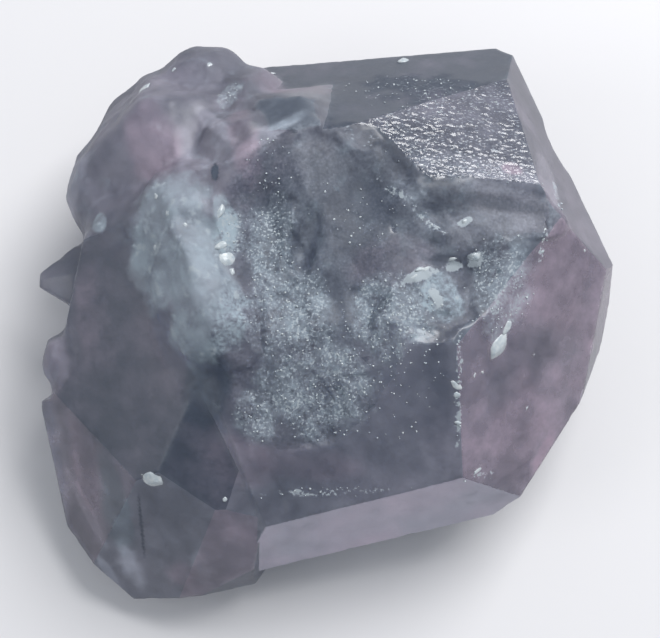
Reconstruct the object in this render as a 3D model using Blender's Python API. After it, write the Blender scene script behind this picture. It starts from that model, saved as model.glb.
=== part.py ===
"""A loose celestine crystal, broken from its pocket: one solid.

Two blocky individuals are grown together. Each is a block cut by flat crystal
faces, and each face is stated as a crystallographer states it: the way it looks
(azimuth from +X towards +Y), its tilt from straight up, and its distance from
the individual's centre. The crest ends in a rough break, with hollows, ridges
and ledges sunk into it. Angular lumps and a small point stand on the broken left
side, and shell-shaped flakes are missing from a few edges. The underside ends in
one flat cleavage face to rest on.
"""

import math

import bmesh
import bpy
import numpy as np
from mathutils import Euler, Matrix, Vector, noise

MM = 0.001
NAME = "celestine_crystal"
CENTRE = (0, 0, 7.5)  # of both large individuals, in mm above the resting face
SHIFT = (-0.03, -1.205, 0)  # mm, puts the origin under the middle of the whole crystal
BLANK_SIDE = 60.0  # mm, a block before its faces are cut
RESTING_FACE = (0, 180, CENTRE[2])

COLOUR = (0.36, 0.41, 0.48, 1)
ROUGHNESS = 0.25

# Flat faces, name: (azimuth, tilt in degrees, distance in mm)
MAIN_FACES = {
    "etched_face": (59, 25, 10.5),
    "back_bevel": (95, 48, 11.83),
    "right_face": (326, 46.5, 9.5),
    "shoulder_face": (332, 24, 8.7),
    "right_rim": (343, 74, 14.15),
    "corner_chip": (22, 60, 14.5),
    "front_face": (274, 33.5, 6.85),
    "front_band": (281, 70, 10.15),
    "crest_face": (278, 8, 7.0),
    "left_break": (222, 62, 9.15),
    "left_slope": (205, 36, 8.3),
    "back_left_face": (147, 43, 11.2),
    "left_side": (176, 84, 12.0),
    "under_right": (357, 111, 15.75),
    "under_lower_right": (327, 116, 13.4),
    "under_front": (286, 120, 12.1),
    "under_left": (192, 122, 11.0),
    "under_back_left": (136, 112, 14.2),
    "under_back": (95, 107, 15.5),
    "under_upper_right": (24, 110, 15.35),
    "resting_face": RESTING_FACE,
}
LEFT_FACES = {
    "crest_face": (278, 8, 6.75),
    "front_face": (274, 33.5, 6.6),
    "left_slope": (205, 36, 8.55),
    "dark_face": (261, 31.5, 6.9),
    "back_left_face": (147, 44, 11.6),
    "left_edge_face": (184, 80, 15.75),
    "lobe_face": (213, 51.5, 11.15),
    "lobe_rim": (207, 70, 15.6),
    "first_triangle": (249, 51, 9.95),
    "second_triangle": (266, 53.5, 9.4),
    "foot_band": (283, 74, 10.9),
    "step_face": (338, 84, 1.1),
    "under_left": (180, 112, 15.6),
    "under_lower_left": (219, 114, 18.6),
    "under_front": (282, 118, 13.4),
    "under_back_left": (136, 112, 14.6),
    "back_side": (91, 84, 8.0),
    "resting_face": RESTING_FACE,
}
# What is missing above the lobe, at the left edge
NOTCH_FACES = {
    "beside_left_slope": (350, 100, -14.1),
    "above_lobe": (298, 110, -3.3),
}
# A small slab left standing at the back of the crest
LEAF_FACES = {
    "leaf_face": (112, 28, 10.95),
    "crest_side": (296, 20, 5.2),
    "front_end": (290, 80, -3.5),
    "left_end": (172, 66, 7.3),
    "right_end": (10, 76, 3.35),
    "back_end": (96, 62, 13.15),
    "foot": (0, 180, 0),
}

# The rough break on the crest: everything above a rough sheet over this rectangle is
# broken off. All lengths are in mm.
BREAK_CENTRE = (3.2, 1.2)
BREAK_SIZE = (17.6, 18.4)
BREAK_STEPS = (44, 46)
BREAK_FACES = ("crest_face", "shoulder_face", "etched_face", "front_face")
BREAK_TOP = 22.0
BREAK_CLEAR = 0.9  # how far the sheet stands off the crystal where nothing is broken
EDGE_WEAR = 0.5  # how softly the break runs over the edges between flat faces
BORDER_SLOPE = 3.0  # how soon an area reaches its depth inside its border
FULLY_BROKEN = 0.3  # depth at which the roughness, hollows and ledges are at full strength
RAGGED, RAGGED_PITCH = 0.45, (2.0, 2.0)  # how far and how often the border wanders
RIDGE_HEIGHT, RIDGE_PITCH = 0.6, (2.4, 3.3)
STEP_HEIGHT, STEP_PITCH = 0.16, (1.25, 1.45)
MEAN_ROUGHNESS = 0.15
# Broken areas, name: (centre, radii, turn in degrees, depth)
BROKEN_AREAS = {
    "crest": ((0.0, 3.8), (5.4, 5.6), 20, 0.4),
    "shoulder": ((6.2, 2.2), (3.4, 3.6), -10, 0.3),
    "lens": ((9.4, 4.9), (3.6, 1.3), -5, 0.12),
    "front_edge": ((-1.2, -2.6), (4.4, 4.6), 8, 0.25),
}
# Shell-shaped hollows, name: (centre, radii, turn in degrees, depth)
HOLLOWS = {
    "dark_pit": ((-1.0, 3.2), (0.8, 2.0), -14, 1.2),
    "left_scoop": ((-3.0, 4.4), (1.5, 2.6), 12, 0.4),
    "dark_facet": ((1.9, 5.3), (2.1, 2.6), 30, 0.6),
    "lower_scoop": ((2.4, 0.2), (2.8, 2.0), -15, 0.45),
    "under_etched_scoop": ((5.0, 5.6), (2.9, 1.3), -38, 0.5),
    "crust_scoop": ((7.6, 1.4), (1.9, 1.5), 24, 0.35),
}
# Ledges, name: (start, end, drop, reach): the surface drops right of the line and
# climbs back over the reach
LEDGES = {
    "ridge_line": ((1.0, 8.6), (6.2, 2.8), 0.45, 2.6),
    "etched_ledge": ((6.0, 6.2), (12.6, 5.5), 0.6, 1.7),
    "crust_ledge": ((3.6, 2.6), (8.6, 1.9), 0.35, 1.6),
    "pit_ledge": ((-4.9, 7.2), (-0.6, 4.6), 0.35, 2.2),
}

# Angular lumps, name: (centre, radii, turn about Z in degrees, facets), lengths in mm
LUMPS = {
    "frosted_boss": ((-6.6, 1.3, 12.0), (2.5, 5.0, 3.7), 10, 40),
    "boss_foot": ((-5.2, -1.3, 12.2), (2.2, 2.8, 3.0), 20, 30),
    "boss_head": ((-6.6, 5.0, 11.6), (3.4, 3.2, 3.9), 0, 30),
    "crown_middle": ((-7.9, 9.3, 6.9), (5.9, 6.8, 5.9), 15, 48),
    "crown_top": ((-6.5, 11.8, 6.5), (4.4, 4.7, 4.9), 8, 40),
    "crown_left": ((-9.5, 11.0, 6.5), (3.3, 4.3, 4.5), 30, 34),
    "crown_right": ((-4.6, 11.4, 7.6), (2.4, 3.8, 4.8), -12, 30),
    "shoulder": ((-11.9, 8.0, 6.6), (2.9, 3.2, 3.6), 0, 28),
    "shoulder_knob": ((-13.3, 9.1, 6.3), (1.4, 1.9, 1.9), 10, 18),
    "neck": ((-4.4, 8.1, 11.0), (2.8, 3.4, 3.9), 0, 26),
    "left_knob": ((-14.8, -1.5, 6.1), (1.2, 1.5, 1.9), 0, 18),
}
FACET_SPREAD = 0.26  # how unevenly the facets of a lump lie, as a part of its radius
FACET_SWELL = 1.7  # how quickly that changes from one facet to the next
GOLDEN_ANGLE = math.pi * (3 - math.sqrt(5))

# Shell-shaped flakes missing from the edges, name: (centre, radii) in mm
FLAKES = {
    "corner_flake": ((16.55, 12.0, 7.0), (4.0, 4.0, 7.5)),
    "back_flake": ((4.6, 20.3, 5.2), (5.6, 4.1, 4.4)),
    "back_left_flake": ((-9.5, 18.4, 1.6), (6.0, 5.2, 4.0)),
    "right_flake": ((18.6, -3.0, 2.2), (4.0, 6.5, 3.6)),
}

# Small crystals, name: (tip, way it points as azimuth and tilt, length, width, thickness), in mm
POINTS = {
    "left_point": ((-16.35, 3.1, 6.3), 182, 93, 4.6, 7.6, 5.0),
}
POINT_SIDES = 6
POINT_BLUNTNESS = 0.12  # width of the blunt tip, as a part of the base's


def direction(azimuth, tilt):
    """Unit vector that looks towards azimuth and leans tilt degrees from straight up."""
    a, t = math.radians(azimuth), math.radians(tilt)
    return Vector((math.cos(a) * math.sin(t), math.sin(a) * math.sin(t), math.cos(t)))


def cut_flat(block, point, outward):
    """Removes what lies beyond the plane and closes the cut with one flat face."""
    cut = bmesh.ops.bisect_plane(
        block,
        geom=block.verts[:] + block.edges[:] + block.faces[:],
        plane_co=point,
        plane_no=outward,
        clear_outer=True,
    )
    rim = [e for e in cut["geom_cut"] if isinstance(e, bmesh.types.BMEdge)]
    if rim:
        bmesh.ops.contextual_create(block, geom=rim)


def add_object(name, shape):
    mesh = bpy.data.meshes.new(name)
    bmesh.ops.recalc_face_normals(shape, faces=shape.faces)
    shape.to_mesh(mesh)
    shape.free()
    made = bpy.data.objects.new(name, mesh)
    bpy.context.scene.collection.objects.link(made)
    return made


def habit_block(name, faces):
    """A block with every flat face of one individual cut on it."""
    block = bmesh.new()
    bmesh.ops.create_cube(block, size=BLANK_SIDE * MM)
    centre = Vector(CENTRE) * MM
    bmesh.ops.translate(block, verts=block.verts, vec=centre)
    for azimuth, tilt, distance in faces.values():
        outward = direction(azimuth, tilt)
        cut_flat(block, centre + outward * distance * MM, outward)
    return add_object(name, block)


def lump(name, centre, radii, turn, facets):
    """An ellipsoid chipped to flat facets, spread evenly by the golden angle."""
    ball = bmesh.new()
    bmesh.ops.create_cube(ball, size=4)
    for i in range(facets):
        height = 1 - 2 * (i + 0.5) / facets
        around = i * GOLDEN_ANGLE
        level = math.sqrt(1 - height * height)
        outward = Vector((level * math.cos(around), level * math.sin(around), height))
        depth = 1 - FACET_SPREAD * noise.noise(outward * FACET_SWELL + Vector(centre))
        cut_flat(ball, outward * depth, outward)
    place = Matrix.LocRotScale(
        Vector(centre) * MM,
        Euler((0, 0, math.radians(turn))),
        Vector(radii) * MM,
    )
    bmesh.ops.transform(ball, matrix=place, verts=ball.verts)
    return add_object(name, ball)


def shell(name, centre, radii):
    """A smooth ellipsoid, which leaves a shell-shaped hollow where it is cut away."""
    ball = bmesh.new()
    bmesh.ops.create_icosphere(ball, subdivisions=3, radius=MM)
    place = Matrix.LocRotScale(Vector(centre) * MM, None, Vector(radii))
    bmesh.ops.transform(ball, matrix=place, verts=ball.verts)
    return add_object(name, ball)


def small_point(name, tip, azimuth, tilt, length, width, thickness):
    """A small six-sided pyramid, wider than it is thick."""
    cone = bmesh.new()
    bmesh.ops.create_cone(
        cone,
        cap_ends=True,
        segments=POINT_SIDES,
        radius1=width / 2 * MM,
        radius2=width / 2 * POINT_BLUNTNESS * MM,
        depth=length * MM,
    )
    bmesh.ops.scale(cone, vec=(1, thickness / width, 1), verts=cone.verts)
    along = direction(azimuth, tilt)
    turn = along.to_track_quat("Z", "Y").to_matrix().to_4x4()
    middle = Vector(tip) * MM - along * (length / 2 * MM)
    bmesh.ops.transform(cone, matrix=Matrix.Translation(middle) @ turn, verts=cone.verts)
    return add_object(name, cone)


def face_height(face, x, y):
    """Height in mm of a flat face of the main individual over the point x, y."""
    azimuth, tilt, distance = MAIN_FACES[face]
    nx, ny, nz = direction(azimuth, tilt)
    return CENTRE[2] + (distance - nx * (x - CENTRE[0]) - ny * (y - CENTRE[1])) / nz


def bowl(x, y, centre, radii, turn):
    """1 in the middle of an ellipse, 0 on its rim and below 0 outside."""
    a = math.radians(turn)
    across, along = x - centre[0], y - centre[1]
    u = (across * math.cos(a) + along * math.sin(a)) / radii[0]
    v = (along * math.cos(a) - across * math.sin(a)) / radii[1]
    return 1 - u * u - v * v


def ledge_depth(x, y, start, end, drop, reach):
    """Depth right of the line from start to end: full at the line, none at the reach."""
    line = np.array(end) - np.array(start)
    length = np.hypot(*line)
    along = ((x - start[0]) * line[0] + (y - start[1]) * line[1]) / length**2
    aside = ((x - start[0]) * line[1] - (y - start[1]) * line[0]) / length
    fade = np.clip(4 * along * (1 - along), 0, 1) ** 0.5
    return drop * fade * np.where(aside > 0, np.clip(1 - aside / reach, 0, 1), 0)


def waves(x, y, pitch, layer):
    """Smooth noise between -1 and 1, with its swells about one pitch apart."""
    wide, deep = pitch
    return np.array([noise.noise(Vector((i / wide, j / deep, layer))) for i, j in zip(x, y)])


def break_depth(x, y):
    """How far below the flat faces the break lies: its areas, roughness, hollows and ledges."""
    border = RAGGED * waves(x, y, RAGGED_PITCH, 1.3)
    depth = np.full(x.shape, -BREAK_CLEAR)
    for centre, radii, turn, deep in BROKEN_AREAS.values():
        area = BORDER_SLOPE * (bowl(x, y, centre, radii, turn) + border)
        depth = np.maximum(depth, deep * np.minimum(area, 1))
    broken = np.clip(depth / FULLY_BROKEN, 0, 1)
    ridges = RIDGE_HEIGHT * abs(waves(x, y, RIDGE_PITCH, 3.1))
    steps = STEP_HEIGHT * waves(x, y, STEP_PITCH, 8.7)
    depth += broken * (MEAN_ROUGHNESS - ridges - steps)
    for centre, radii, turn, deep in HOLLOWS.values():
        depth += broken * deep * np.clip(bowl(x, y, centre, radii, turn), 0, 1)
    for ledge in LEDGES.values():
        depth += broken * ledge_depth(x, y, *ledge)
    return depth


def break_sheet(name):
    """A slab whose lower side is the break and whose upper side clears the crystal."""
    columns, rows = BREAK_STEPS
    sheet = bmesh.new()
    bmesh.ops.create_grid(sheet, x_segments=columns, y_segments=rows, size=0.5)
    x = np.array([BREAK_CENTRE[0] + v.co.x * BREAK_SIZE[0] for v in sheet.verts])
    y = np.array([BREAK_CENTRE[1] + v.co.y * BREAK_SIZE[1] for v in sheet.verts])
    heights = np.array([face_height(face, x, y) for face in BREAK_FACES])
    soft_top = -EDGE_WEAR * np.log(np.sum(np.exp(-heights / EDGE_WEAR), axis=0))
    for v, place in zip(sheet.verts, np.stack([x, y, soft_top - break_depth(x, y)], axis=1)):
        v.co = place

    lid = bmesh.ops.extrude_face_region(sheet, geom=sheet.faces[:])
    for v in (part for part in lid["geom"] if isinstance(part, bmesh.types.BMVert)):
        v.co.z = BREAK_TOP
    bmesh.ops.scale(sheet, vec=(MM, MM, MM), verts=sheet.verts)
    return add_object(name, sheet)


def combine(crystal, helper, operation):
    """Joins or cuts with a helper that moves with the crystal and isn't part of it."""
    helper.hide_render = True
    helper.display_type = "WIRE"
    helper.parent = crystal
    step = crystal.modifiers.new(f"{operation}_{helper.name}", "BOOLEAN")
    step.operation = operation
    step.solver = "EXACT"
    step.object = helper


def celestine():
    material = bpy.data.materials.new("celestine")
    material.use_nodes = True
    shader = material.node_tree.nodes["Principled BSDF"]
    shader.inputs["Base Color"].default_value = COLOUR
    shader.inputs["Roughness"].default_value = ROUGHNESS
    shader.inputs["Metallic"].default_value = 0
    return material


def main():
    for old in list(bpy.data.objects):
        bpy.data.objects.remove(old)
    crystal = habit_block(NAME, MAIN_FACES)
    crystal.data.materials.append(celestine())
    crystal.location = Vector(SHIFT) * MM
    combine(crystal, habit_block("left_individual", LEFT_FACES), "UNION")
    combine(crystal, habit_block("left_notch", NOTCH_FACES), "DIFFERENCE")
    combine(crystal, habit_block("leaf_slab", LEAF_FACES), "UNION")
    combine(crystal, break_sheet("crest_break"), "DIFFERENCE")
    for name, values in FLAKES.items():
        combine(crystal, shell(name, *values), "DIFFERENCE")
    for name, values in LUMPS.items():
        combine(crystal, lump(name, *values), "UNION")
    for name, values in POINTS.items():
        combine(crystal, small_point(name, *values), "UNION")


main()
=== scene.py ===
"""The looks of a loose celestine crystal: its skin, its crumbs and crusts, and a studio.

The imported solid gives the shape. Its surface is copied, divided finely enough for etch
pits and broken grain, rounded on the lumps and dented by formulas. All working lengths
are in mm, and a finished mesh is put into metres.
"""

import itertools
import math
from types import SimpleNamespace

import bpy
import numpy as np
from bpy.props import FloatProperty, FloatVectorProperty, PointerProperty
from bpy.types import Operator, Panel, PropertyGroup
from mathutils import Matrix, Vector
from mathutils.bvhtree import BVHTree


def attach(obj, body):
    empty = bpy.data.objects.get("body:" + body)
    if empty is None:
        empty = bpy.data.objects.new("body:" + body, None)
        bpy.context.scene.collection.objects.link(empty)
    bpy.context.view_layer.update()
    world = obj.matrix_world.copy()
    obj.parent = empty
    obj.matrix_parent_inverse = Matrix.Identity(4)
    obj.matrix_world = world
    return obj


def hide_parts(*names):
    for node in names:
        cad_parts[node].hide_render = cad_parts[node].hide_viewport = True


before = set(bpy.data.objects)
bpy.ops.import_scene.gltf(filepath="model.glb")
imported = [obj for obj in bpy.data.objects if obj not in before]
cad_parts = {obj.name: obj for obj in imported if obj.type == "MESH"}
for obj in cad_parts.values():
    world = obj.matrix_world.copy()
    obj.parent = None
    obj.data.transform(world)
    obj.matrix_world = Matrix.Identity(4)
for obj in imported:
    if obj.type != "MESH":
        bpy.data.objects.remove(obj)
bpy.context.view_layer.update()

bl_info = {
    "name": "Celestine Crystal Looks",
    "version": (1, 0, 0),
    "blender": (4, 5, 0),
    "location": "3D View > Sidebar > Celestine",
    "description": "Dresses the solid of a loose celestine crystal and sets it on a stage",
    "category": "Object",
}

MM = 0.001  # metres
NODE = "celestine_crystal"
BODY = "root"

# Places on the crystal are given from the middle of its two large individuals, in mm
MIDDLE = (-0.03, -1.205, 7.5)

# Flat faces by the way they look (azimuth and tilt in degrees), with their finish:
# how milky they are, how light, and how much they lean to mauve, each from 0 to 1.
# How light a face is, is partly its own tone and partly painted light and shade by the
# way it faces the light: painted shade on the dark face and the left slope, painted
# light on the dim front band. How mauve it is, is partly the stone's own tint and
# partly painted pink light showing through the stone.
FACE_FINISH = {
    "etched_face": (59, 25, 0.50, 0.50, 0.30),
    "back_bevel": (95, 48, 0.75, 0.00, 0.60),
    "right_face": (326, 46.5, 0.45, 0.57, 0.95),
    "shoulder_face": (332, 24, 0.60, 0.50, 0.10),
    "right_rim": (343, 74, 0.30, 0.64, 0.80),
    "corner_chip": (22, 60, 0.55, 0.36, 0.60),
    "front_face": (274, 33.5, 0.65, 0.46, 0.30),
    "front_band": (281, 70, 0.75, 1.00, 0.55),
    "left_slope": (205, 36, 0.85, 0.11, 0.50),
    "dark_face": (261, 31.5, 0.80, 0.10, 0.45),
    "back_left_face": (147, 44, 0.45, 0.45, 0.35),
    "lobe_face": (213, 51.5, 0.40, 0.44, 0.70),
    "lobe_rim": (207, 70, 0.35, 0.75, 0.30),
    "first_triangle": (249, 51, 0.60, 0.48, 0.25),
    "second_triangle": (266, 53.5, 0.50, 0.50, 0.85),
    "leaf_face": (112, 28, 0.60, 0.50, 0.05),
}
OTHER_FINISH = (0.50, 0.46, 0.25)
LUMP_FINISH = (0.50, 0.41, 0.30)
SAME_WAY = 1.5  # degrees within which a facet is one of those
ROW_TURN = -17  # degrees, the way the etch pits' rows run
GROOVE_TURN = -28  # degrees, the way the grooves run
ENDLESS = 1000.0  # mm, a pitch so long that a pattern doesn't change along it

# Areas seen from above, name: (centre, radii, turn), in mm from the middle and degrees
LUMPY_AREAS = {  # rounded and knobby
    "boss": ((-6.4, 1.2), (3.1, 6.4), 8),
    "crown": ((-8.2, 10.3), (6.2, 8.2), 12),
    "shoulder": ((-12.8, 8.6), (3.4, 3.6), 0),
    "knob": ((-15.4, -1.5), (1.6, 1.9), 0),
}
BROKEN_AREAS = {  # rough break with facets and steps
    "crest": ((0.2, 3.8), (5.6, 5.8), 20),
    "shoulder": ((6.2, 2.2), (3.6, 3.8), -10),
    "lens": ((9.4, 4.9), (3.8, 1.5), -5),
    "front_edge": ((-1.2, -2.6), (4.6, 4.8), 8),
}
CALM_AREAS = {  # smoother parts of the break
    "dark_facet": ((2.4, 5.4), (4.2, 2.4), -38),
    "smooth_facet": ((2.8, 2.3), (3.3, 1.8), 12),
    "lens": ((8.6, 5.4), (4.2, 1.3), -4),
    "shoulder": ((9.6, 1.4), (1.9, 3.4), -12),
}
FADING_AREAS = {  # where the break's rim runs out into a flat face
    "into_front_face": ((1.6, -4.6), (3.4, 3.0), -20),
    "under_left_patch": ((-2.2, -6.6), (2.6, 1.2), 10),
}
MELTED_AREAS = {  # sharp solid rounded off
    "leaf_end": ((0.2, 11.6), (1.4, 2.5), 0),
}
STRIATED_AREAS = {  # fine grooves
    "beside_lens": ((5.2, 6.0), (2.3, 0.8), -28),
}
PITTED_AREAS = {  # etch pits beyond the etched face
    "left_of_etched_face": ((1.9, 8.7), (1.5, 0.9), -25),
    "above_etched_face": ((6.4, 12.6), (4.8, 1.9), -12),
}
# the sugary grain also gets painted glints in the stone's material
SUGARY_AREAS = {  # fine glinting grain
    "left_of_pit": ((-2.7, 2.6), (1.6, 3.4), 0),
    "foot_of_pit": ((-1.6, -0.8), (3.0, 2.6), 0),
    "below_crest": ((-0.3, -4.2), (3.6, 2.9), -12),
    "left_patch": ((-3.7, -5.9), (1.2, 1.5), 20),
    "towards_shoulder": ((3.6, -0.9), (2.8, 2.6), 0),
    "shoulder": ((9.4, 1.0), (2.0, 3.0), -12),
    "crown_glitter": ((-5.2, 12.3), (0.7, 1.2), -30),
    "boss_glitter": ((-4.9, 3.2), (1.0, 1.7), 0),
}
# the specks are pale grains, partly chalk and partly painted glints
GLITTER_AREAS = {  # scattered specks without the grain
    "etched_foot": ((7.8, 7.0), (4.2, 1.0), -8),
    "etched_left": ((4.6, 8.4), (2.2, 1.2), -25),
    "etched_top": ((5.6, 12.2), (4.6, 2.0), -12),
    "above_pit": ((-2.9, 6.0), (1.7, 2.4), 0),
    "crest": ((1.5, 4.6), (2.6, 1.8), -30),
    "front_face": ((3.6, -3.6), (2.8, 3.4), 0),
}
FROSTED_AREAS = {  # pale frost
    "boss": ((-7.8, 2.9), (2.9, 4.4), 15),
    "boss_foot": ((-6.0, -0.9), (2.3, 2.6), 0),
    "left_patch": ((-12.3, 5.1), (0.5, 0.8), 20),
    "hook": ((-5.2, 3.9), (0.7, 1.6), 10),
    "below_crusts": ((6.3, 0.3), (1.2, 1.5), 25),
}
CRUSTED_AREAS = {  # chalky crusts that stand out
    "upper_crust": ((5.1, 1.3), (1.7, 0.38), 18),
    "middle_crust": ((6.9, 1.85), (0.6, 0.3), 20),
    "lower_crust": ((6.0, 0.1), (0.35, 0.9), 22),
    "right_crust": ((8.0, 2.2), (0.5, 0.5), 0),
    "small_crust": ((7.5, 4.15), (0.5, 0.28), 35),
}
# the speckles are partly chalk and partly painted glints
SPECKLED_AREAS = {  # lines of bright speckles
    "front_line": ((7.12, -4.6), (0.32, 4.6), 0),
    "above_grain": ((9.3, -0.4), (0.4, 1.4), 20),
    "corner_ridge": ((12.75, 6.6), (0.3, 1.6), 5),
    "foot_of_front_face": ((0.2, -9.5), (5.2, 0.3), 2),
    "foot_of_right_face": ((8.6, -8.5), (1.2, 0.3), 15),
    "crest_line": ((4.6, 5.0), (3.6, 0.35), -43),
    "right_crest_edge": ((11.7, 3.4), (0.3, 1.6), -8),
}

# Places that are lighter or darker than the face they are on: the last value is the change.
# Most are the stone's own tone; the painted light and shade among them are marked
SHADED_AREAS = {
    "crest": ((0.6, 4.4), (4.4, 4.6), 20, -0.15),
    "left_of_pit": ((-2.8, 5.0), (2.4, 3.2), 0, -0.15),
    # painted shade: the dark face's shade carried up towards the boss
    "dark_face_top": ((-6.2, -4.4), (1.5, 2.2), -15, -0.12),
    "shoulder": ((9.4, 1.0), (2.4, 3.2), -12, -0.12),
    "slit": ((-5.7, 6.65), (0.2, 0.6), 5, -1.0),
    "band_mottling": ((3.0, -11.2), (5.5, 0.7), 12, 0.45),
    "front_strip": ((6.1, -5.0), (0.8, 4.0), 0, -0.16),
    "dark_facet": ((2.6, 5.2), (1.9, 1.4), -40, -0.22),
    # painted shade: the lens darkened where it faces the key light
    "lens": ((9.2, 5.35), (3.1, 0.5), -4, -0.3),
    "below_lens": ((8.8, 4.2), (3.0, 0.8), 6, 0.22),
    "etched_corner": ((12.2, 7.3), (0.7, 2.2), 8, 0.3),
    "crack": ((-10.1, -10.9), (0.1, 1.8), 0, -0.45),
    "lobe_dark": ((-13.2, -8.0), (0.7, 2.8), 5, -0.18),
    "lobe_grey": ((-11.7, -9.6), (0.9, 2.8), 15, 0.1),
    "below_frost": ((0.4, -8.3), (5.0, 1.3), -3, -0.08),
    "left_patch_shadow": ((-4.9, -5.6), (0.7, 3.2), 22, -0.2),
    "leaf": ((-2.0, 10.9), (1.9, 1.5), 20, -0.12),
    "leaf_streak": ((-2.9, 8.7), (2.7, 0.6), 38, 0.45),
    "crown": ((-9.4, 9.0), (7.0, 7.0), 12, 0.06),
    "thorn": ((-15.2, 2.6), (1.6, 1.4), 0, 0.1),
    "knob": ((-15.2, -2.2), (1.0, 2.0), 0, 0.12),
    "crown_streak": ((-5.9, 9.9), (0.5, 2.3), 35, 0.45),
    "crown_wisp": ((-7.6, 8.6), (0.6, 1.6), 5, 0.3),
    "crown_patch": ((-6.4, 8.0), (1.4, 1.3), 0, 0.2),
    # painted light: the pit's hollow lightened against the shade of its depth
    "pit": ((-1.1, 3.8), (1.1, 1.9), -10, 0.25),
    "boss_light": ((-7.8, 2.9), (2.9, 4.4), 15, 0.15),
    "shoulder_rim": ((-14.4, 8.3), (1.0, 2.4), -15, 0.3),
    "lobe_rim": ((-15.2, -6.8), (0.7, 3.6), 8, 0.3),
    "lobe_streak_a": ((-13.4, -9.8), (0.35, 2.6), 28, 0.3),
    "lobe_streak_b": ((-10.9, -12.9), (0.5, 1.6), 22, 0.45),
    "lobe_streak_c": ((-12.3, -13.2), (0.3, 1.2), 35, 0.4),
    "triangle_streak": ((-6.9, -13.1), (0.5, 0.9), 20, 0.3),
    "right_grey": ((13.5, -3.4), (1.6, 3.6), -25, 0.22),
    "right_foot": ((12.3, -7.0), (1.3, 0.5), 60, 0.5),
    "right_top_shade": ((13.3, 2.6), (1.3, 2.6), -8, -0.12),
    # painted sheen: lighter towards the etched face's foot, where its glints crowd
    "etched_middle": ((8.5, 6.9), (4.0, 1.2), -8, 0.22),
}
MAUVE_AREAS = {  # more or less mauve than that face, in the same way
    "crest": ((1.4, 3.4), (7.0, 6.0), 10, -0.15),
    "crest_foot": ((3.6, 2.0), (2.6, 1.6), 10, 0.35),
    "thorn": ((-15.2, 2.6), (1.6, 1.4), 0, 0.15),
    "knob": ((-15.2, -2.2), (1.2, 2.2), 0, 0.25),
    "right_face_top": ((13.0, 2.2), (1.6, 3.2), -8, 0.5),
    "right_face_foot": ((10.6, -5.6), (1.6, 3.4), -15, 0.25),
    "crown": ((-8.6, 9.6), (6.0, 7.5), 12, 0.15),
    "bevel_left": ((-0.4, 14.0), (4.2, 2.0), 10, 0.6),
    "crown_left": ((-9.3, 9.2), (1.7, 2.8), 20, 0.5),
    "crown_right": ((-4.2, 8.4), (0.9, 3.0), 10, 0.5),
    "left_edge": ((-13.1, 1.4), (0.7, 3.6), 4, 0.4),
    "lobe": ((-13.3, -7.6), (0.9, 3.0), 12, 0.6),
    "lobe_grey": ((-11.7, -9.6), (1.0, 2.8), 15, -0.6),
    "dark_face_top": ((-6.2, -4.4), (1.5, 2.2), -15, -0.3),
    "slope_blush": ((-12.6, -0.8), (1.2, 4.4), 10, 0.3),
    "front_blush": ((-4.4, -8.0), (2.2, 1.4), -20, 0.35),
    "below_frost": ((-0.8, -8.1), (3.2, 1.0), -4, 0.35),
    "triangle_foot": ((-8.0, -13.4), (1.0, 0.7), 0, 0.5),
    "etched_spot": ((10.1, 7.3), (0.7, 0.5), 0, 0.6),
}

# The crest's sharp line, as places that it passes
RIDGE_PATH = ((1.2, 8.6), (2.7, 6.0), (4.5, 4.2), (6.3, 3.4))
ETCHED_FOOT = ((2.5, 7.2), (12.0, 5.7))  # the etched face's lower edge


# ---------------------------------------------------------------- patterns in numpy


def direction(azimuth, tilt):
    """Unit vector that looks towards azimuth and leans tilt degrees from straight up."""
    a, t = math.radians(azimuth), math.radians(tilt)
    return np.array([math.cos(a) * math.sin(t), math.sin(a) * math.sin(t), math.cos(t)])


def looks(normals, azimuth, tilt):
    """True for each unit normal that looks towards azimuth and tilt, within SAME_WAY."""
    return normals @ direction(azimuth, tilt) > math.cos(math.radians(SAME_WAY))


def ease(low, high, value):
    """0 below low, 1 above high, and a smooth S between them."""
    part = np.clip((value - low) / (high - low), 0, 1)
    return part * part * (3 - 2 * part)


def chance(cells, layer):
    """A repeatable number from 0 to 1 for each lattice cell: its whole numbers' bits are
    multiplied by primes, put together and mixed."""
    i, j, k = (cells[:, n].astype(np.int64).astype(np.uint32) for n in range(3))
    bits = i * np.uint32(73856093) ^ j * np.uint32(19349663) ^ k * np.uint32(83492791)
    bits = (bits ^ np.uint32(7919 * layer + 101)) * np.uint32(2246822519)
    bits = (bits ^ (bits >> 13)) * np.uint32(3266489917)
    return (bits ^ (bits >> 16)) / 4294967295.0


def chances(cells, layer):
    """Three of those for each cell, as a vector from -1 to 1."""
    return 2 * np.stack([chance(cells, 3 * layer + n) for n in range(3)], axis=1) - 1


def swells(points, pitch, layer):
    """Gradient noise, about -1 to 1: each lattice point has a random slope, and the slopes
    of the eight round a place are blended by how near they are."""
    scaled = points / pitch
    cell = np.floor(scaled)
    part = scaled - cell
    near = part**3 * (part * (part * 6 - 15) + 10)
    total = np.zeros(len(points))
    for corner in itertools.product((0, 1), repeat=3):
        share = np.prod(np.where(corner, near, 1 - near), axis=1)
        total += share * np.sum(chances(cell + corner, layer) * (part - corner), axis=1)
    return 1.5 * total


def rough_swells(points, pitch, layer, octaves=3):
    """Swells with finer and flatter ones added, each half as wide and half as high."""
    return sum(swells(points, pitch / 2**n, layer + n) / 2**n for n in range(octaves))


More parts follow.
